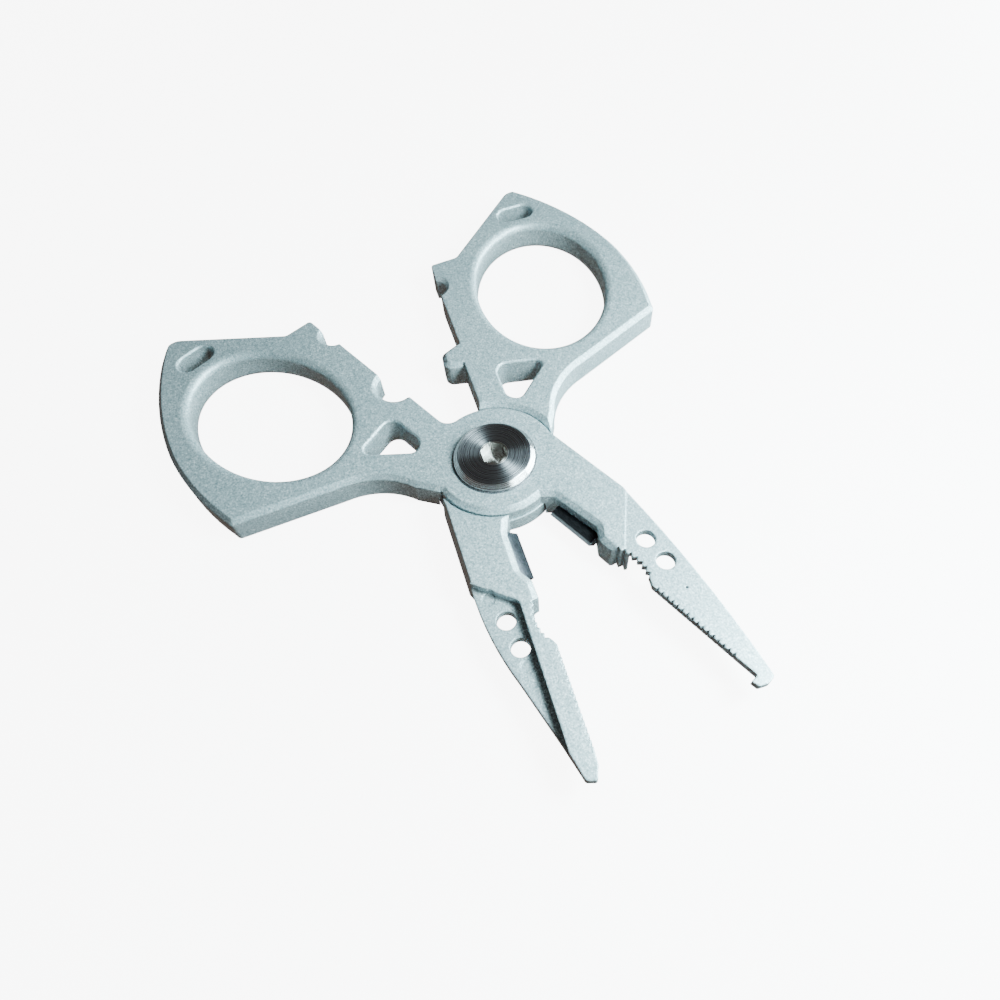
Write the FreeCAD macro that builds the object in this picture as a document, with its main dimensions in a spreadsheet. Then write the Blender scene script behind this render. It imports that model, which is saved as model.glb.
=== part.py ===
import FreeCAD, Part
import math
import os

# Fishing pliers: two half-lapped levers on a sleeve and screw pivot, a cutter insert in each jaw.
# Millimetres.  Z = 0 is the face the tool lies on.  The pivot axis is the Z axis.  +X is the
# closing line towards the jaw tips.  Each lever is drawn closed (handle on +Y or -Y of the
# closing line) and then turned by half_open about the pivot, which is the rest pose.

V = FreeCAD.Vector

DIMS = [
    ("thickness", 6.0, "plate thickness of both levers"),
    ("half_open", 13.65, "turn of each lever from closed to rest, degrees"),
    ("open_margin", 0.6, "further opening left before the stop, degrees"),
    ("stop_gap", 0.15, "gap left at the opening stop"),
    ("lap_height", 3.0, "height of the half-lap face"),
    ("lap_play", 0.02, "air between the lap washer and the upper lever"),
    ("disc_upper", 10.5, "radius of the upper half-lap disc"),
    ("disc_lower", 10.75, "radius of the lower half-lap disc"),
    ("disc_play", 0.3, "gap round each half-lap disc"),
    ("pocket_shift", 0.25, "shift of the upper lap pocket away from the jaws"),
    ("chamfer", 0.84, "edge chamfer of the levers"),
    ("opening_chamfer", 0.3, "chamfer of the window and the lanyard slot"),
    ("ring_major", 16.75, "finger ring half length"),
    ("ring_minor", 12.35, "finger ring half width"),
    ("ring_round", 1.3, "rounding of the finger ring edges"),
    ("jaw_half", 10.1, "distance of the straight outer jaw edge from the pivot"),
    ("root_slope", 0.6, "outward slope of the lower jaw's outer wall over the plate thickness"),
    ("pocket_depth", 1.6, "depth of the recess in the lower jaw"),
    ("jaw_plate", 1.5, "thickness of the upper jaw beyond its step and of the lower jaw's recess floor"),
    ("step_depth", 0.12, "depth of the lowered face of the upper jaw"),
    ("hole_radius", 1.5, "radius of the two jaw holes"),
    ("tooth_depth", 0.55, "depth of the gripping teeth"),
    ("tooth_pitch", 0.93, "pitch of the fine teeth"),
    ("tooth_rake", 17.0, "angle at which the fine teeth run out towards the foot of the edge"),
    ("sleeve_radius", 4.0, "outer radius of the pivot sleeve"),
    ("flange_radius", 6.0, "radius of the sleeve flange"),
    ("flange_height", 1.05, "height of the sleeve flange"),
    ("spanner_depth", 0.7, "depth of the two spanner holes in the flange"),
    ("bore_play", 0.05, "radial running fit of the upper lever"),
    ("shank_radius", 2.5, "radius of the screw shank"),
    ("head_radius", 6.8, "radius of the screw head"),
    ("head_top", 6.03, "radius of the flat top of the screw head"),
    ("head_height", 1.45, "height of the screw head"),
    ("hex_flats", 4.0, "socket size across flats"),
    ("hex_depth", 2.0, "socket depth"),
    ("shim_height", 0.2, "thickness of the washer under the head"),
    ("shim_radius", 7.05, "outer radius of the washer under the head"),
    ("lap_washer_height", 0.4, "thickness of the washer in the lap"),
    ("lap_washer_radius", 8.5, "outer radius of the washer in the lap"),
    ("cutter_start", 13.0, "start of the cutter inserts along the jaw"),
    ("cutter_length", 8.4, "length of the cutter inserts"),
    ("cutter_base", 1.2, "height of the underside of the cutter inserts"),
    ("lower_cutter", 3.0, "thickness of the lower cutter insert"),
    ("upper_cutter", 2.2, "thickness of the upper cutter insert"),
    ("cutter_back", 4.6, "distance of the back of the inserts from the closing line"),
    ("seat_play", 0.01, "play of the inserts in their seats"),
]

doc = FreeCAD.newDocument("fishing_pliers")
sheet = doc.addObject("Spreadsheet::Sheet", "Dims")
for row, (name, value, note) in enumerate(DIMS, start=1):
    sheet.set("A%d" % row, name)
    sheet.set("B%d" % row, str(value))
    sheet.setAlias("B%d" % row, name)
    sheet.set("C%d" % row, note)
doc.recompute()


def dim(name):
    return float(sheet.get(name))


THICK = dim("thickness")
CUT_DOWN = THICK + 2.0


# ---------------------------------------------------------------- sketch helpers

def corner_points(before, corner, after, radius):
    """Start, middle and end of the arc that rounds a corner between two straight edges."""
    a = (before - corner).normalize()
    b = (after - corner).normalize()
    half = math.acos(max(-1.0, min(1.0, a.dot(b)))) / 2.0
    reach = radius / math.tan(half)
    centre = corner + (a + b).normalize() * (radius / math.sin(half))
    middle = centre + (corner - centre).normalize() * radius
    return corner + a * reach, middle, corner + b * reach


def outline(points, side=1):
    """Closed outline.  A point is (x, y), (x, y, round radius) or (x, y, via x, via y)."""
    spots = [V(p[0], p[1] * side, 0) for p in points]
    count = len(points)
    enter = list(spots)
    leave = list(spots)
    bends = {}
    for i, p in enumerate(points):
        if len(p) == 3 and p[2] > 0:
            start, middle, end = corner_points(spots[i - 1], spots[i], spots[(i + 1) % count], p[2])
            enter[i] = start
            leave[i] = end
            bends[i] = middle
    edges = []
    for i, p in enumerate(points):
        before = leave[i - 1]
        if len(p) == 4:
            edges.append(Part.Arc(before, V(p[2], p[3] * side, 0), enter[i]))
        elif (enter[i] - before).Length > 1e-6:
            edges.append(Part.LineSegment(before, enter[i]))
        if i in bends:
            edges.append(Part.Arc(enter[i], bends[i], leave[i]))
    return edges


def plane_of(body, role):
    return [f for f in body.Origin.OriginFeatures if f.Role == role][0]


def sketch_on(body, name, geometry, role="XY_Plane", lift=None):
    sketch = body.newObject("Sketcher::SketchObject", name)
    sketch.AttachmentSupport = [(plane_of(body, role), "")]
    sketch.MapMode = "FlatFace"
    if lift:
        sketch.setExpression("AttachmentOffset.Base.z", lift)
    sketch.addGeometry(geometry, False)
    return sketch


def circle(x, y, radius):
    return Part.Circle(V(x, y, 0), V(0, 0, 1), radius)


def pad(body, name, geometry, length):
    feature = body.newObject("PartDesign::Pad", name)
    feature.Profile = sketch_on(body, name + "Sketch", geometry)
    feature.setExpression("Length", length)
    doc.recompute()
    return feature


def cut(body, name, geometry, base=None, length=None):
    """Pocket upwards from the plane at height `base`; through everything when no length is given."""
    before = body.Shape.Volume
    feature = body.newObject("PartDesign::Pocket", name)
    feature.Profile = sketch_on(body, name + "Sketch", geometry, lift=base)
    feature.Reversed = True
    if length:
        feature.setExpression("Length", length)
    else:
        feature.Length = CUT_DOWN
    doc.recompute()
    if not body.Shape.Volume < before - 1e-6:
        raise RuntimeError("pocket %s removed nothing" % name)
    return feature


def edges_where(shape, test):
    """Names of the edges whose end points and middle all pass the test."""
    names = []
    for i, edge in enumerate(shape.Edges, start=1):
        low, high = edge.ParameterRange
        spots = [edge.valueAt(low), edge.valueAt((low + high) / 2.0), edge.valueAt(high)]
        if all(test(p) for p in spots):
            names.append("Edge%d" % i)
    return names


def dress(body, kind, name, test, size):
    """Chamfer or fillet of the chosen edges of the present shape."""
    base = body.Tip
    edges = edges_where(base.Shape, test)
    if not edges:
        raise RuntimeError("no edge chosen for %s" % name)
    feature = body.newObject("PartDesign::" + kind, name)
    feature.Base = (base, edges)
    feature.setExpression("Radius" if kind == "Fillet" else "Size", size)
    body.Tip = feature
    doc.recompute()
    return feature


def on_face(p, height):
    return abs(p.z - height) < 1e-4


def radius_of(p):
    return math.hypot(p.x, p.y)


# ---------------------------------------------------------------- lever outlines
# Drawn with the handle on +Y and the jaw on -Y; side = -1 mirrors them for the upper lever.

NECK_Y = 1.05
GRIP_Y = 1.6
LUG_Y = 1.8
NOTCH_1 = (-43.0, 0.75, 2.35)
NOTCH_2 = (-24.7, 0.85, 3.5)
JAW_STEP = [(19.5, -13.0), (20.35, -10.7), (28.6, -0.7)]
JAW_BEYOND = [(28.6, 4.0), (57.0, 4.0), (57.0, -13.0)]
RING_CENTRE = (-36.65, 20.6)
RING_TILT = -8.3
SLOT_CENTRE = (-57.9, 22.4)
SLOT_HALF_WIDTH = 2.0
SLOT_HALF_STRAIGHT = 1.65
HANDLE_CORNER = (-22.55, 38.4)
ROOT_START = 3.5
ROOT_END = 20.6


def notch_x(notch, height, direction):
    """Where a round notch crosses the edge at the given height."""
    x, y, radius = notch
    return x + direction * math.sqrt(radius ** 2 - (height - y) ** 2)


def handle_points(nested_lug):
    """Handle outline from the inner neck round to the outer neck."""
    points = [
        (-12.7, NECK_Y, -11.25, 0.5),
    ]
    if nested_lug:
        points += [
            (-21.5, NECK_Y),
            (-22.3, -2.55, 1.5),
            (-25.7, -2.4, 1.5),
            (-27.6, GRIP_Y),
        ]
    else:
        points += [
            (notch_x(NOTCH_2, NECK_Y, 1), NECK_Y),
            (notch_x(NOTCH_2, GRIP_Y, -1), GRIP_Y, NOTCH_2[0], NOTCH_2[1] + NOTCH_2[2]),
        ]
    points += [
        (notch_x(NOTCH_1, GRIP_Y, 1), GRIP_Y),
        (notch_x(NOTCH_1, LUG_Y, -1), LUG_Y, NOTCH_1[0], NOTCH_1[1] + NOTCH_1[2]),
        (-49.0, LUG_Y, 0.7),
        (-49.35, 7.25, 1.5),
        (-65.7, 23.6, 2.7),
        (-62.0, 27.7),
        (-42.2, 38.0, -53.3, 33.6),
        (-23.9, 38.55, -32.5, 39.2),
        (HANDLE_CORNER[0], HANDLE_CORNER[1], 0.9),
        (-15.0, 21.2),
        (-6.0, 12.7, -11.6, 15.95),
    ]
    return points


def stop_region(disc, side):
    """Outside the disc and below the line the other jaw takes at the opening stop."""
    turn = math.radians(2.0 * dim("half_open") + dim("open_margin"))
    reach = dim("jaw_half") + dim("stop_gap")
    run = math.sqrt(disc ** 2 - reach ** 2)
    start = turn + math.atan2(reach, run)
    near = on_disc(disc, math.degrees(start))
    far = (near[0] + 12.0 * math.cos(turn), near[1] + 12.0 * math.sin(turn))
    low = on_disc(disc, 62.0)
    middle = on_disc(disc, (math.degrees(start) + 62.0) / 2.0)
    return outline([(near[0], near[1], middle[0], middle[1]), far, low], side)


def on_disc(disc, degrees):
    angle = math.radians(degrees)
    return disc * math.cos(angle), disc * math.sin(angle)


def lower_jaw_points(disc):
    """Inner edge, tip and outer edge of the lower jaw, at the foot of its sloping outer wall."""
    foot = dim("jaw_half") + dim("root_slope")
    start = math.sqrt(disc ** 2 - 1.0)
    middle = on_disc(disc, 45.0)
    return [
        (start, -1.0, middle[0], middle[1]),
        (14.0, -2.38, 2.5),
        (20.9, -2.45, 0.8),
        (22.95, -1.2, 1.2),
        (25.95, -1.18),
        (26.15, -1.9),
        (33.2, -1.5, 29.7, -2.8),
        (34.0, -1.12, 0.4),
        (49.2, -1.38, 0.0),
        (51.5, -1.62, 0.3),
        (52.3, -2.05, 0.3),
        (53.25, -2.3, 0.4),
        (52.75, -3.85, 0.5),
        (47.2, -5.05, 3.0),
        (37.2, -7.85),
        (ROOT_END, -10.35, 28.9, -9.83),
        (ROOT_END - 0.9, -foot),
        (ROOT_START + 0.9, -foot),
        (ROOT_START, -math.sqrt(disc ** 2 - ROOT_START ** 2)),
    ]


def upper_jaw_points(disc):
    """Inner edge, hooked tip and outer edge of the upper jaw."""
    outer = dim("jaw_half")
    start = math.sqrt(disc ** 2 - 0.01)
    middle = on_disc(disc, 45.0)
    return [
        (start, -0.1, middle[0], middle[1]),
        (12.1, -1.6, 1.6),
        (20.9, -2.12, 1.0),
        (22.75, -0.5, 1.1),
        (25.2, -0.45),
        (25.45, -0.75),
        (32.9, -0.4, 29.2, -1.6),
        (33.6, 0.1, 0.4),
        (49.0, 0.6),
        (52.6, 0.68, 0.2),
        (52.5, 1.95, 0.15),
        (53.65, 1.9, 0.35),
        (54.4, 0.5, 1.1),
        (54.35, -0.75, 0.6),
        (53.2, -1.2),
        (20.1, -9.9, 37.5, -6.05),
        (19.2, -outer),
        (math.sqrt(disc ** 2 - outer ** 2), -outer),
    ]


def lever_outline(disc, jaw, nested_lug, side):
    back = on_disc(disc, 235.0)
    join = on_disc(disc, 187.7) + back
    neck = on_disc(disc, 100.5)
    return outline([join] + handle_points(nested_lug) + [neck] + jaw(disc), side)


def ring(side):
    tilt = math.radians(RING_TILT)
    centre = V(RING_CENTRE[0], RING_CENTRE[1] * side, 0)
    along = V(math.cos(tilt), math.sin(tilt) * side, 0)
    across = V(-math.sin(tilt) * side, math.cos(tilt), 0)
    return Part.Ellipse(centre + along * dim("ring_major"), centre + across * dim("ring_minor"), centre)


def slot(side):
    x, y = SLOT_CENTRE
    width = SLOT_HALF_WIDTH
    straight = SLOT_HALF_STRAIGHT
    points = [
        (x - width, y - straight),
        (x - width, y + straight),
        (x + width, y + straight, x, y + straight + width),
        (x + width, y - straight),
    ]
    edges = outline(points, side)
    low = V(x - width, (y - straight) * side, 0)
    end = V(x + width, (y - straight) * side, 0)
    edges[0] = Part.Arc(end, V(x, (y - straight - width) * side, 0), low)
    return edges


def window(side):
    return outline([(-19.75, 6.0, 1.9), (-17.75, 15.4, 1.2), (-10.5, 8.0, 1.5), (-12.2, 6.0, 1.8)], side)


def notches(first, last, count, depth, lean, side):
    """Row of V notches along a line, the steep flank towards the tip when lean is positive."""
    edges = []
    for i in range(count):
        along = i / (count - 1.0)
        x = first[0] + (last[0] - first[0]) * along
        y = first[1] + (last[1] - first[1]) * along
        half = dim("tooth_pitch") * 0.32
        above = y + 0.25
        points = [(x - half, above), (x + half, above), (x + half, y), (x + lean, y - depth), (x - half, y)]
        edges += outline(points, side)
    return edges


def arc_notches(centre, radius, first, last, count, depth, width, side):
    """V notches spread along an arc that opens towards the closing line."""
    edges = []
    for i in range(count):
        angle = math.radians(first + (last - first) * i / (count - 1.0))
        out = (math.cos(angle), math.sin(angle))
        tangent = (-out[1], out[0])
        spots = []
        for across, deep in ((-width, -0.3), (width, -0.3), (width, 0.0), (0.0, depth), (-width, 0.0)):
            reach = radius + deep
            spots.append((centre[0] + out[0] * reach + tangent[0] * across,
                          centre[1] + out[1] * reach + tangent[1] * across))
        edges += outline(spots, side)
    return edges


def arc_centre(a, b, c):
    arc = Part.Circle(V(a[0], a[1], 0), V(b[0], b[1], 0), V(c[0], c[1], 0))
    return (arc.Center.x, arc.Center.y), arc.Radius


# ---------------------------------------------------------------- levers

def new_body(label, turn=None):
    body = doc.addObject("PartDesign::Body", label)
    body.Label = label
    if turn:
        body.Placement = FreeCAD.Placement(V(0, 0, 0), FreeCAD.Rotation(V(0, 0, 1), 0))
        body.setExpression("Placement.Rotation.Angle", turn)
    return body


def handle_openings(body, side):
    cut(body, "FingerRing", [ring(side)])
    cx, cy = RING_CENTRE
    limit = dim("ring_major") + 0.3
    dress(body, "Fillet", "RingRound",
          lambda p: (on_face(p, 0) or on_face(p, THICK))
          and math.hypot(p.x - cx, p.y - cy * side) < limit
          and abs(p.y * side) > 8.0, "Dims.ring_round")
    cut(body, "LanyardSlot", slot(side))
    cut(body, "Window", window(side))
    dress(body, "Chamfer", "OpeningEdges",
          lambda p: (on_face(p, 0) or on_face(p, THICK))
          and ((-20.5 < p.x < -10.0 and 5.5 < p.y * side < 15.5 and inside_window(p.x, p.y * side))
               or (-60.2 < p.x < -55.6 and 18.0 < p.y * side < 26.9)), "Dims.opening_chamfer")


def inside_window(x, y):
    """True on or inside the window triangle, a little enlarged."""
    return y < 16.0 - (x + 18.4) * 0.98 and x > -20.2


def outer_handle(p, side):
    """Points of the bowed edge, the sharp corner, the straight edge and the outer neck."""
    y = p.y * side
    bow = p.x < -15.0 and y > 27.6 - 0.2 and y > 27.6 + 0.3 * (p.x + 62.1)
    neck = -22.6 < p.x < -5.9 and y > 12.6 and y > 20.0 - 1.3 * (p.x + 16.2)
    return bow or neck or (-6.1 < p.x < -1.5 and y > 10.2)


def notch_edge(p, notch, side):
    return abs(math.hypot(p.x - notch[0], p.y * side - notch[1]) - notch[2]) < 0.02


def jaw_root(p, side, first, last):
    """Inner jaw edge beside the cutter, from the disc to the shoulder."""
    y = p.y * side
    return first < p.x < last and -2.6 < y < 0.0


def tip_taper(body):
    """Bevel on the underside of the lower jaw's tip."""
    base = THICK - dim("pocket_depth") - dim("jaw_plate")
    taper = body.newObject("PartDesign::Pocket", "TipTaper")
    wedge = outline([(47.5, base - 0.5), (47.5, base), (53.5, base + dim("jaw_plate")), (55.0, base - 0.5)])
    taper.Profile = sketch_on(body, "TipTaperSketch", wedge, "XZ_Plane")
    taper.Length = 30.0
    taper.Midplane = True
    doc.recompute()


def root_wall(body):
    """Slope of the lower jaw's outer wall, from its foot up to the top face."""
    outer = dim("jaw_half")
    slope = dim("root_slope")
    margin = 1.0
    lean = slope * margin / THICK
    wedge = outline([
        (-outer - slope - lean, -margin), (-outer + lean, THICK + margin),
        (-outer - 3.0, THICK + margin), (-outer - 3.0, -margin),
    ])
    wall = body.newObject("PartDesign::Pocket", "RootWall")
    wall.Profile = sketch_on(body, "RootWallSketch", wedge, "YZ_Plane", str(ROOT_START))
    wall.Reversed = True
    wall.Length = ROOT_END - ROOT_START
    doc.recompute()


def pocket_flare(body):
    """Conical lead-in at the top of the half-lap pocket."""
    flare = body.newObject("PartDesign::SubtractiveCone", "PocketFlare")
    flare.AttachmentSupport = [(plane_of(body, "XY_Plane"), "")]
    flare.MapMode = "FlatFace"
    flare.setExpression("AttachmentOffset.Base.x", "-Dims.pocket_shift")
    flare.setExpression("AttachmentOffset.Base.z", "Dims.thickness - Dims.chamfer")
    flare.setExpression("Radius1", "Dims.disc_upper + Dims.disc_play + Dims.pocket_shift")
    flare.setExpression("Radius2", "Dims.disc_upper + Dims.disc_play + Dims.pocket_shift + Dims.chamfer")
    flare.setExpression("Height", "Dims.chamfer")
    doc.recompute()


def fine_teeth(body, geometry, side):
    """Notches in the jaw's inner edge, cut at a rake so that they run out towards its foot."""
    teeth = body.newObject("PartDesign::Pocket", "FineTeeth")
    profile = sketch_on(body, "FineTeethSketch", geometry, lift="Dims.thickness")
    tilt = FreeCAD.Rotation(V(1, 0, 0), side * dim("tooth_rake"))
    profile.AttachmentOffset = FreeCAD.Placement(V(0, 0, THICK), tilt)
    teeth.Profile = profile
    teeth.Midplane = True
    teeth.Length = 5.0
    doc.recompute()


def jaw_holes(side, centres):
    return [circle(x, y * side, dim("hole_radius")) for x, y in centres]


def make_lower_lever():
    side = 1
    disc = dim("disc_lower")
    body = new_body("lever_lower", "-Dims.half_open")
    pad(body, "Plate", lever_outline(disc, lower_jaw_points, True, side), "Dims.thickness")
    top = lambda p: on_face(p, THICK)
    both = lambda p: on_face(p, THICK) or on_face(p, 0)
    dress(body, "Chamfer", "HandleChamfer",
          lambda p: both(p) and outer_handle(p, side), "Dims.chamfer")
    dress(body, "Chamfer", "NotchChamfer",
          lambda p: both(p) and (notch_edge(p, NOTCH_1, side)
                                 or (-27.0 < p.x < -21.3 and -2.6 < p.y < 1.06)),
          "Dims.chamfer * 0.9")
    dress(body, "Chamfer", "JawRootChamfer",
          lambda p: top(p) and jaw_root(p, side, 10.8, 25.96), "Dims.chamfer * 1.15")
    handle_openings(body, side)
    shift = dim("pocket_shift")
    cut(body, "LapPocket", [circle(-shift, 0, dim("disc_upper") + dim("disc_play") + shift)],
        "Dims.lap_height", "Dims.thickness")
    pocket_flare(body)
    cut(body, "WasherRecess", [circle(0, 0, dim("lap_washer_radius") + 0.05)],
        "Dims.lap_height - Dims.lap_washer_height", "Dims.thickness")
    cut(body, "SleeveBore", [circle(0, 0, dim("sleeve_radius") + dim("seat_play"))])
    cut(body, "FlangeSeat", [circle(0, 0, dim("flange_radius") + 0.1)],
        None, "Dims.flange_height + Dims.seat_play")
    recess = [(20.2, -13.0), (20.35, -10.7), (25.75, -4.15, 1.1), (49.2, -4.72), (50.5, -13.0)]
    cut(body, "JawRecess", outline(recess, side), "Dims.thickness - Dims.pocket_depth", "Dims.thickness")
    cut(body, "JawUnderside", outline(JAW_STEP + JAW_BEYOND, side),
        None, "Dims.thickness - Dims.pocket_depth - Dims.jaw_plate")
    tip_taper(body)
    root_wall(body)
    marks = [circle(x, y, 1.05) for x, y in ((23.4, -8.35), (35.2, -6.05))]
    cut(body, "EjectorMarks", marks, "Dims.thickness - Dims.pocket_depth - 0.1", "Dims.thickness")
    cut(body, "StopClearance", stop_region(disc, side))
    cut(body, "JawHoles", jaw_holes(side, ((27.55, -6.85), (32.2, -6.15))))
    centre, radius = arc_centre((26.15, -1.9), (29.7, -2.8), (33.2, -1.5))
    cut(body, "CoarseTeeth", arc_notches(centre, radius, 243.5, 297.5, 7, 0.42, 0.42, side))
    fine_teeth(body, notches((34.75, -1.08), (48.7, -1.31), 16, dim("tooth_depth") * 0.75, 0.1, side), side)
    cutter_seat(body, side, "lower_cutter")
    return body


def make_upper_lever():
    side = -1
    disc = dim("disc_upper")
    body = new_body("lever_upper", "Dims.half_open")
    pad(body, "Plate", lever_outline(disc, upper_jaw_points, False, side), "Dims.thickness")
    top = lambda p: on_face(p, THICK)
    both = lambda p: on_face(p, THICK) or on_face(p, 0)
    dress(body, "Chamfer", "EdgeChamfer",
          lambda p: (both(p) and outer_handle(p, side))
          or (top(p) and jaw_root(p, side, 10.4, 25.21))
          or (top(p) and p.y * side > -0.5 and abs(radius_of(p) - disc) < 0.01), "Dims.chamfer")
    dress(body, "Chamfer", "NotchChamfer",
          lambda p: both(p) and (notch_edge(p, NOTCH_1, side) or notch_edge(p, NOTCH_2, side)),
          "Dims.chamfer * 0.9")
    handle_openings(body, side)
    cut(body, "LapPocket", [circle(0, 0, dim("disc_lower") + dim("disc_play"))],
        None, "Dims.lap_height + Dims.lap_play")
    cut(body, "SleeveBore", [circle(0, 0, dim("sleeve_radius") + dim("bore_play"))])
    cut(body, "JawUnderside", outline(JAW_STEP + JAW_BEYOND, side), None, "Dims.thickness - Dims.jaw_plate")
    step = [(19.9, -12.0), (20.1, -9.8), (25.2, -3.6), (27.6, -0.7)] + JAW_BEYOND
    cut(body, "LoweredFace", outline(step, side), "Dims.thickness - Dims.step_depth", "Dims.thickness")
    cut(body, "StopClearance", stop_region(disc, side))
    cut(body, "JawHoles", jaw_holes(side, ((27.88, -5.34), (32.43, -4.51))))
    centre, radius = arc_centre((25.45, -0.75), (29.2, -1.6), (32.9, -0.4))
    cut(body, "CoarseTeeth", arc_notches(centre, radius, 246.0, 294.0, 7, 0.55, 0.42, side))
    fine_teeth(body, notches((34.45, 0.13), (48.5, 0.57), 16, dim("tooth_depth"), 0.1, side), side)
    cut(body, "CastPit", [circle(37.44, 3.13, 0.2)], "Dims.thickness - 0.5", "Dims.thickness")
    cutter_seat(body, side, "upper_cutter")
    return body


# ---------------------------------------------------------------- cutters

def cutter_seat(body, side, height):
    play = dim("seat_play")
    start = dim("cutter_start") - play
    end = start + dim("cutter_length") + 2.0 * play
    back = -(dim("cutter_back") + play)
    seat = outline([(start, 0.4), (end, 0.4), (end, back), (start, back)], side)
    cut(body, "CutterSeat", seat, "Dims.cutter_base - Dims.seat_play",
        "Dims.%s + 2 * Dims.seat_play" % height)


LOWER_NOSE = [(-2.35, 4.2), (-0.43, 2.45), (-1.8, 1.2)]
UPPER_NOSE = [(-1.1, 3.4), (-0.02, 3.1), (0.36, 2.9), (-0.9, 1.2)]


def make_cutter(label, side, nose, height, turn):
    """Bar lying along the jaw; `nose` is its ground front, from the top over the edge to the underside."""
    body = new_body(label, turn)
    low = dim("cutter_base")
    high = low + dim(height)
    back = dim("cutter_back")
    profile = [(-back, low), (-back, high)] + nose
    sketch = sketch_on(body, "ProfileSketch", outline([(y * side, z) for y, z in profile]), "YZ_Plane",
                       "Dims.cutter_start")
    feature = body.newObject("PartDesign::Pad", "Bar")
    feature.Profile = sketch
    feature.setExpression("Length", "Dims.cutter_length")
    doc.recompute()
    return body


# ---------------------------------------------------------------- pivot pieces

def revolve(label, profile):
    """Body turned about the Z axis from a half profile of (radius, height) points."""
    body = new_body(label)
    sketch = sketch_on(body, "ProfileSketch", outline(profile), "XZ_Plane")
    feature = body.newObject("PartDesign::Revolution", "Turned")
    feature.Profile = sketch
    feature.ReferenceAxis = (sketch, ["V_Axis"])
    feature.Angle = 360.0
    doc.recompute()
    return body


def make_sleeve():
    shoulder = dim("flange_height")
    top = THICK + dim("shim_height") + 0.01
    floor = 0.9
    outer = dim("sleeve_radius")
    bore = dim("shank_radius")
    flange = dim("flange_radius")
    body = revolve("pivot_sleeve", [
        (0, 0), (flange - 0.3, 0), (flange, 0.3), (flange, shoulder), (outer, shoulder),
        (outer, top), (bore, top), (bore, floor), (0, floor),
    ])
    cut(body, "SpannerHoles", [circle(-3.9, 0, 0.55), circle(3.9, 0, 0.55)], None, "Dims.spanner_depth")
    return body


def make_screw():
    seat = THICK + dim("shim_height") + 0.02
    top = seat + dim("head_height") - dim("shim_height")
    wide = dim("head_radius")
    flat = dim("head_top")
    shank = dim("shank_radius") - 0.01
    body = revolve("pivot_screw", [
        (0, 1.3), (shank - 0.4, 1.3), (shank, 1.7), (shank, seat), (wide - 0.15, seat),
        (wide, seat + 0.15), (wide, seat + 0.4), (flat + 0.12, top - 0.07), (flat, top), (0, top),
    ])
    corner = dim("hex_flats") / math.sqrt(3.0)
    hexagon = [on_disc(corner, 60 * i - 13) for i in range(6)]
    cut(body, "HexSocket", outline(hexagon),
        "Dims.thickness + Dims.head_height + 0.02 - Dims.hex_depth", "Dims.thickness")
    return body


def make_washer(label, inner, outer, base, height):
    body = new_body(label)
    feature = body.newObject("PartDesign::Pad", "Ring")
    feature.Profile = sketch_on(body, "RingSketch", [circle(0, 0, outer), circle(0, 0, inner)], lift=base)
    feature.setExpression("Length", height)
    doc.recompute()
    return body


# ---------------------------------------------------------------- build and export

parts = [
    make_lower_lever(),
    make_upper_lever(),
    make_cutter("cutter_lower", 1, LOWER_NOSE, "lower_cutter", "-Dims.half_open"),
    make_cutter("cutter_upper", -1, UPPER_NOSE, "upper_cutter", "Dims.half_open"),
    make_sleeve(),
    make_screw(),
    make_washer("lap_washer", dim("sleeve_radius") + 0.1, dim("lap_washer_radius"),
                "Dims.lap_height - Dims.lap_washer_height + 0.005", "Dims.lap_washer_height"),
    make_washer("head_washer", dim("sleeve_radius") + 0.05, dim("shim_radius"),
                "Dims.thickness + 0.01", "Dims.shim_height - 0.01"),
]
doc.recompute()

for item in doc.Objects:
    if "Invalid" in item.State or "Error" in item.State:
        raise RuntimeError("%s is %s" % (item.Label, item.State))

os.makedirs("parts", exist_ok=True)
for part in parts:
    shape = part.Shape
    if shape.isNull() or not shape.isValid():
        raise RuntimeError("%s has no valid shape" % part.Label)
    shape.exportStep("parts/%s.step" % part.Label)
    box = shape.BoundBox
    print("%-14s solids %d volume %9.2f  x %7.2f %7.2f  y %7.2f %7.2f  z %5.2f %5.2f" % (
        part.Label, len(shape.Solids), shape.Volume,
        box.XMin, box.XMax, box.YMin, box.YMax, box.ZMin, box.ZMax))
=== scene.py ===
import bpy
from mathutils import Matrix, Vector


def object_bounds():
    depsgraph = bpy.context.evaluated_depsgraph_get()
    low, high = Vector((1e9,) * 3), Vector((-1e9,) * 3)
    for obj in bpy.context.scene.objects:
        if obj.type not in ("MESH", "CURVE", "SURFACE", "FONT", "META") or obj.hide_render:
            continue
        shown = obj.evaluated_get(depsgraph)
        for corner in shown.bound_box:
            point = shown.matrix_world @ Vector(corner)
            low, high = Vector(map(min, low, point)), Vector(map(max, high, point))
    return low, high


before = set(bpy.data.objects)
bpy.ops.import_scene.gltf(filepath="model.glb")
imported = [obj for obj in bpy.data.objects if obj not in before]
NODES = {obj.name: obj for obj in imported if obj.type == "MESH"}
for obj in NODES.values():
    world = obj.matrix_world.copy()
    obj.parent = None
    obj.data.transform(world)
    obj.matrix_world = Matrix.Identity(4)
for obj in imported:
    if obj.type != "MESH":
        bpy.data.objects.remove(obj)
cad_box = [list(corner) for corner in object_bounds()]

MM = 0.001
LEVERS = ("lever_lower", "lever_upper")

WHITE_LEVEL = 8.0                             # emission of the floor and of the backdrop
SOCKET_EDGE = (2.30 * MM, 2.45 * MM)          # radii between which the hex socket ends
SCREW_BEVEL_HIGHLIGHT_RADII = (6.05 * MM, 6.20 * MM)          # radii between which the head's bevel starts; outward of them the head gets a painted highlight
LIP_HIGHLIGHT_TOP = 3.12 * MM                     # height below which the upper cutter's lip gets a painted highlight (lighter colour)


# ---------------------------------------------------------------- material helpers

def new_material(name):
    material = bpy.data.materials.new(name)
    material.use_nodes = True
    tree = material.node_tree
    return material, tree, tree.nodes["Principled BSDF"]


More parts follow.
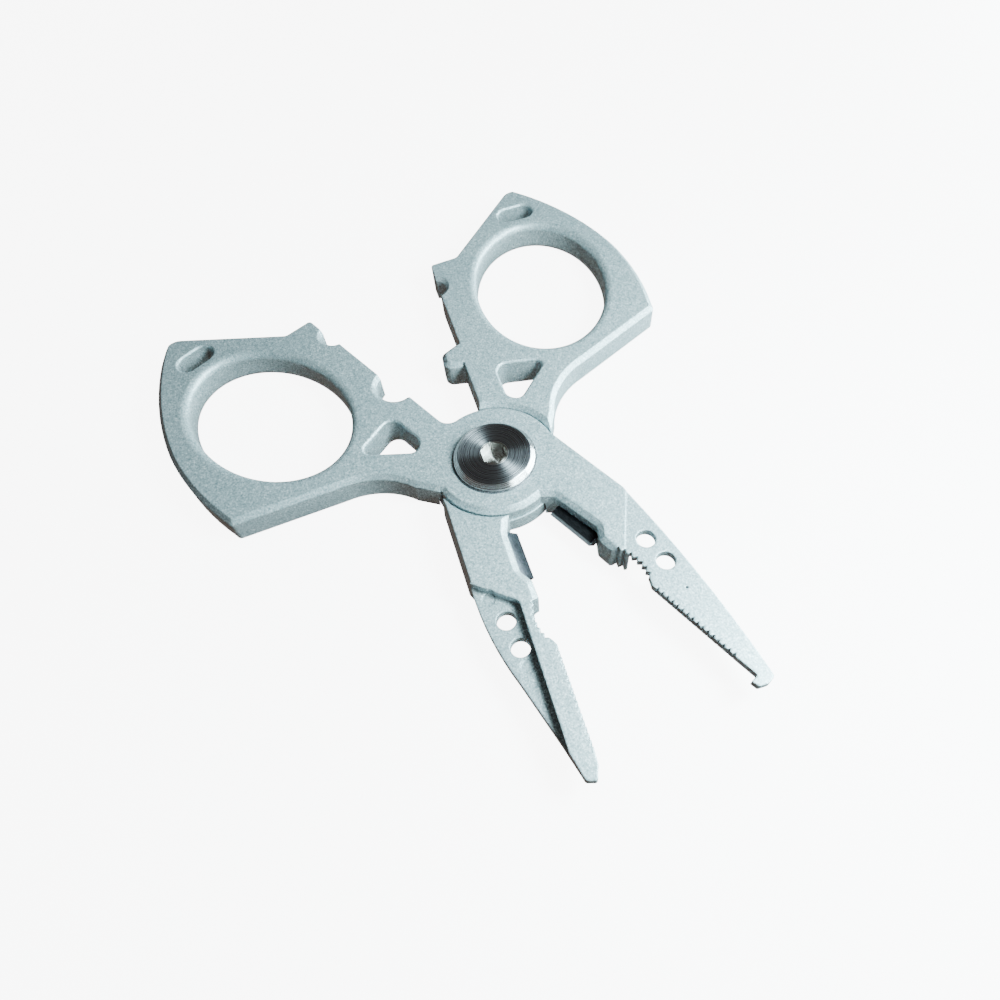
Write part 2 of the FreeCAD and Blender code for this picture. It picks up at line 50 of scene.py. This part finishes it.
def node(tree, kind, **settings):
    """New shader node; each setting names an input socket or a property of the node."""
    made = tree.nodes.new(kind)
    for key, value in settings.items():
        if key in made.inputs:
            made.inputs[key].default_value = value
        else:
            setattr(made, key, value)
    return made


def link(tree, source, target):
    tree.links.new(source, target)


def object_space(tree):
    return node(tree, "ShaderNodeTexCoord").outputs["Object"]


def noise(tree, where, scale, detail=2.0, roughness=0.5):
    made = node(tree, "ShaderNodeTexNoise")
    made.inputs["Scale"].default_value = scale
    made.inputs["Detail"].default_value = detail
    made.inputs["Roughness"].default_value = roughness
    link(tree, where, made.inputs["Vector"])
    return made.outputs["Fac"]


def ramp(tree, value, stops):
    made = node(tree, "ShaderNodeValToRGB")
    elements = made.color_ramp.elements
    while len(elements) < len(stops):
        elements.new(0.5)
    for element, (position, color) in zip(elements, stops):
        element.position = position
        element.color = (*color, 1.0)
    link(tree, value, made.inputs["Fac"])
    return made.outputs["Color"]


def to_range(tree, value, low, high, start=0.0, end=1.0):
    made = node(tree, "ShaderNodeMapRange")
    made.inputs["From Min"].default_value = start
    made.inputs["From Max"].default_value = end
    made.inputs["To Min"].default_value = low
    made.inputs["To Max"].default_value = high
    link(tree, value, made.inputs["Value"])
    return made.outputs["Result"]


def mix(tree, kind, factor, a, b):
    """Mix two colours; the factor and each colour may be a value or another node's socket."""
    made = node(tree, "ShaderNodeMix", data_type="RGBA", blend_type=kind)
    for socket, value in ((made.inputs[0], factor), (made.inputs[6], a), (made.inputs[7], b)):
        if hasattr(value, "is_linked"):
            link(tree, value, socket)
        else:
            socket.default_value = value
    return made.outputs[2]


def bump(tree, height, distance, strength, normal=None):
    made = node(tree, "ShaderNodeBump")
    made.inputs["Distance"].default_value = distance
    made.inputs["Strength"].default_value = strength
    link(tree, height, made.inputs["Height"])
    if normal:
        link(tree, normal, made.inputs["Normal"])
    return made.outputs["Normal"]


# ---------------------------------------------------------------- materials

def blasted_aluminium():
    """Fine bead-blasted, clear anodised aluminium with a cool grey speckle."""
    material, tree, shader = new_material("blasted_aluminium")
    where = object_space(tree)
    grain = noise(tree, where, 3600.0, 3.0, 0.65)
    coarse = noise(tree, where, 1500.0, 2.0, 0.6)
    patches = noise(tree, where, 60.0, 2.0, 0.5)
    speckle = ramp(tree, grain, [
        (0.30, (0.158, 0.226, 0.245)),
        (0.46, (0.304, 0.392, 0.413)),
        (0.56, (0.386, 0.478, 0.500)),
        (0.70, (0.702, 0.785, 0.800)),
    ])
    flecks = ramp(tree, coarse, [(0.36, (0.84, 0.85, 0.86)), (0.60, (1.04, 1.04, 1.04))])
    cloud = ramp(tree, patches, [(0.35, (0.96, 0.97, 0.98)), (0.65, (1.03, 1.03, 1.03))])
    color = mix(tree, "MULTIPLY", 1.0, speckle, flecks)
    color = mix(tree, "MULTIPLY", 1.0, color, cloud)
    link(tree, color, shader.inputs["Base Color"])
    link(tree, to_range(tree, grain, 0.40, 0.56), shader.inputs["Roughness"])
    shader.inputs["Metallic"].default_value = 0.5
    soft = node(tree, "ShaderNodeBevel", samples=6)
    soft.inputs["Radius"].default_value = 0.38 * MM
    surface = bump(tree, grain, 0.02 * MM, 0.55, soft.outputs["Normal"])
    link(tree, surface, shader.inputs["Normal"])
    return material


def turned_steel():
    """Polished steel with concentric turning rings about the pivot axis, plain inside the socket, and a
    painted highlight (light colour) on the bevel round the head.
    """
    material, tree, shader = new_material("turned_steel")
    where = object_space(tree)
    flat = node(tree, "ShaderNodeMapping")
    flat.inputs["Scale"].default_value = (1.0, 1.0, 0.0)
    link(tree, where, flat.inputs["Vector"])
    length = node(tree, "ShaderNodeVectorMath", operation="LENGTH")
    link(tree, flat.outputs["Vector"], length.inputs[0])
    radius = length.outputs["Value"]
    rings = node(tree, "ShaderNodeTexNoise", noise_dimensions="1D")
    rings.inputs["Scale"].default_value = 6500.0
    rings.inputs["Detail"].default_value = 3.0
    link(tree, radius, rings.inputs["W"])
    ring = rings.outputs["Fac"]
    smudge = noise(tree, where, 700.0, 3.0, 0.6)
    tone = ramp(tree, ring, [(0.35, (0.17, 0.19, 0.215)), (0.62, (0.38, 0.41, 0.44))])
    socket = to_range(tree, radius, 1.0, 0.0, *SOCKET_EDGE)
    color = mix(tree, "MIX", socket, tone, (0.52, 0.52, 0.50, 1.0))
    # painted highlight: the bevel round the head is coloured near white to stand in for the light it
    # catches
    bevel_highlight_mask = to_range(tree, radius, 0.0, 1.0, *SCREW_BEVEL_HIGHLIGHT_RADII)
    color = mix(tree, "MIX", bevel_highlight_mask, color, (0.72, 0.73, 0.74, 1.0))
    link(tree, color, shader.inputs["Base Color"])
    shader.inputs["Metallic"].default_value = 1.0
    polish = to_range(tree, ring, 0.20, 0.34, 0.35, 0.65)
    worn = node(tree, "ShaderNodeMath", operation="MULTIPLY_ADD")
    link(tree, smudge, worn.inputs[0])
    worn.inputs[1].default_value = 0.08
    link(tree, polish, worn.inputs[2])
    link(tree, worn.outputs["Value"], shader.inputs["Roughness"])
    shader.inputs["Anisotropic"].default_value = 0.92
    shader.inputs["Anisotropic Rotation"].default_value = 0.25
    tangent = node(tree, "ShaderNodeTangent", direction_type="RADIAL", axis="Z")
    link(tree, tangent.outputs["Tangent"], shader.inputs["Tangent"])
    soft = node(tree, "ShaderNodeBevel", samples=6)
    soft.inputs["Radius"].default_value = 0.10 * MM
    link(tree, bump(tree, ring, 0.012 * MM, 0.25, soft.outputs["Normal"]), shader.inputs["Normal"])
    return material


def ground_steel(name, dark, light, grind, roughness, lip=None):
    """Steel ground along one direction, with fine parallel scratches and, if asked, a painted highlight
    on the lip: a lighter colour below a given height.
    """
    material, tree, shader = new_material(name)
    where = object_space(tree)
    stretch = node(tree, "ShaderNodeMapping")
    stretch.inputs["Scale"].default_value = grind
    link(tree, where, stretch.inputs["Vector"])
    lines = noise(tree, stretch.outputs["Vector"], 1000.0, 4.0, 0.6)
    spots = noise(tree, where, 900.0, 2.0, 0.5)
    color = mix(tree, "MULTIPLY", 1.0, ramp(tree, lines, [(0.35, dark), (0.65, light)]),
                ramp(tree, spots, [(0.35, (0.88, 0.88, 0.90)), (0.60, (1.0, 1.0, 1.0))]))
    # painted highlight: below the lip height the colour turns light, standing in for the light the
    # upward-facing lip catches
    if lip:
        height, lip_highlight_color = lip
        split = node(tree, "ShaderNodeSeparateXYZ")
        link(tree, where, split.inputs["Vector"])
        below = to_range(tree, split.outputs["Z"], 1.0, 0.0, height - 0.03 * MM, height + 0.03 * MM)
        color = mix(tree, "MIX", below, color, (*lip_highlight_color, 1.0))
    link(tree, color, shader.inputs["Base Color"])
    shader.inputs["Metallic"].default_value = 0.9
    link(tree, to_range(tree, lines, roughness - 0.06, roughness + 0.08), shader.inputs["Roughness"])
    soft = node(tree, "ShaderNodeBevel", samples=6)
    soft.inputs["Radius"].default_value = 0.06 * MM
    link(tree, bump(tree, lines, 0.02 * MM, 0.4, soft.outputs["Normal"]), shader.inputs["Normal"])
    return material


def floor_material():
    """Matt grey that glows white, so that the floor meets the backdrop without an edge."""
    material, tree, shader = new_material("pale_floor")
    shader.inputs["Base Color"].default_value = (0.30, 0.30, 0.30, 1.0)
    shader.inputs["Roughness"].default_value = 0.9
    shader.inputs["Specular IOR Level"].default_value = 0.1
    shader.inputs["Emission Color"].default_value = (1.0, 1.0, 1.0, 1.0)
    shader.inputs["Emission Strength"].default_value = WHITE_LEVEL
    return material


def dress(name, material):
    """Give a carried-over piece its material; its mesh stays as it is."""
    mesh = NODES[name].data
    mesh.materials.clear()
    mesh.materials.append(material)


# ---------------------------------------------------------------- stage, light and camera

def make_floor():
    """Plain floor just under the tool. It neither lights the tool nor shows in its reflections."""
    size = 12.0
    mesh = bpy.data.meshes.new("floor")
    base = cad_box[0][2] - 0.02 * MM
    corners = [(-size, -size, base), (size, -size, base), (size, size, base), (-size, size, base)]
    mesh.from_pydata(corners, [], [(0, 1, 2, 3)])
    mesh.materials.append(floor_material())
    floor = bpy.data.objects.new("floor", mesh)
    bpy.context.scene.collection.objects.link(floor)
    floor.visible_diffuse = False
    floor.visible_glossy = False


def area_light(name, place, target, size, power, color):
    """Soft rectangular lamp aimed at a point; size in metres, power in watts."""
    data = bpy.data.lights.new(name, "AREA")
    data.shape = "RECTANGLE"
    data.size = size[0]
    data.size_y = size[1]
    data.energy = power
    data.color = color
    lamp = bpy.data.objects.new(name, data)
    lamp.location = place
    aim = Vector(target) - Vector(place)
    lamp.rotation_euler = aim.to_track_quat("-Z", "Y").to_euler()
    lamp.visible_camera = False
    bpy.context.scene.collection.objects.link(lamp)


def make_world(above, below):
    """Dim room that lights the tool, in front of a plain white backdrop that only the camera sees."""
    world = bpy.data.worlds.new("studio")
    world.use_nodes = True
    tree = world.node_tree
    split = node(tree, "ShaderNodeSeparateXYZ")
    link(tree, node(tree, "ShaderNodeTexCoord").outputs["Generated"], split.inputs["Vector"])
    height = to_range(tree, split.outputs["Z"], 0.0, 1.0, -0.1, 0.1)
    room = tree.nodes["Background"]
    link(tree, ramp(tree, height, [(0.0, below), (1.0, above)]), room.inputs["Color"])
    backdrop = node(tree, "ShaderNodeBackground", Strength=WHITE_LEVEL)
    backdrop.inputs["Color"].default_value = (1.0, 1.0, 1.0, 1.0)
    chooser = node(tree, "ShaderNodeMixShader")
    link(tree, node(tree, "ShaderNodeLightPath").outputs["Is Camera Ray"], chooser.inputs[0])
    link(tree, room.outputs["Background"], chooser.inputs[1])
    link(tree, backdrop.outputs["Background"], chooser.inputs[2])
    link(tree, chooser.outputs["Shader"], tree.nodes["World Output"].inputs["Surface"])
    bpy.context.scene.world = world


def make_camera():
    """Camera above and in front of the jaws, looking down towards the handles."""
    right = Vector((0.5158, 0.8542, -0.0659))
    up = Vector((-0.7137, 0.4710, 0.5184))
    forward = Vector((-0.4739, 0.2203, -0.8526)).normalized()
    right = (right - forward * right.dot(forward)).normalized()
    up = right.cross(forward)
    place = Vector((64.79, -30.10, 109.04)) * MM
    turn = Matrix((right, up, -forward)).transposed()
    data = bpy.data.cameras.new("camera")
    data.lens = 27.04
    data.sensor_width = 36.0
    data.clip_start = 0.005
    camera = bpy.data.objects.new("camera", data)
    camera.matrix_world = Matrix.Translation(place) @ turn.to_4x4()
    bpy.context.scene.collection.objects.link(camera)
    bpy.context.scene.camera = camera


# ---------------------------------------------------------------- assembly

ALONG_EDGE = (1.0, 12.0, 12.0)
lever_finish = blasted_aluminium()
for lever in LEVERS:
    dress(lever, lever_finish)
dress("pivot_screw", turned_steel())
dress("cutter_lower", ground_steel(
    "cutter_lower_steel", (0.07, 0.08, 0.09), (0.18, 0.20, 0.23), ALONG_EDGE, 0.34))
# painted shade: the upper cutter's near-black colours stand in for the shadow under the jaw above it
dress("cutter_upper", ground_steel(
    "cutter_upper_steel_painted_shade", (0.012, 0.013, 0.015), (0.035, 0.038, 0.042), ALONG_EDGE, 0.38,
    (LIP_HIGHLIGHT_TOP, (0.30, 0.33, 0.35))))
washer_finish = ground_steel(
    "washer_steel", (0.10, 0.11, 0.12), (0.30, 0.32, 0.34), (4.0, 4.0, 1.0), 0.35)
dress("head_washer", washer_finish)
dress("lap_washer", washer_finish)
dress("pivot_sleeve", ground_steel(
    "sleeve_steel", (0.34, 0.35, 0.36), (0.55, 0.56, 0.58), (1.0, 6.0, 6.0), 0.28))

make_floor()
make_world((0.11, 0.105, 0.10), (0.27, 0.20, 0.17))
area_light("key", (0.055, 0.220, 0.030), (0.0, 0.0, 0.0), (0.22, 0.05), 3.0, (0.74, 0.955, 1.0))
area_light("near_tips", (0.070, 0.065, 0.102), (0.03, 0.0, 0.0), (0.045, 0.045), 0.88, (0.76, 0.965, 1.0))
area_light("low_front", (0.131, 0.039, 0.087), (0.0, 0.0, 0.0), (0.04, 0.04), 0.25, (0.78, 0.975, 1.0))
area_light("overhead", (0.080, 0.120, 0.260), (-0.01, 0.0, 0.0), (0.08, 0.08), 0.45, (0.76, 0.965, 1.0))
make_camera()
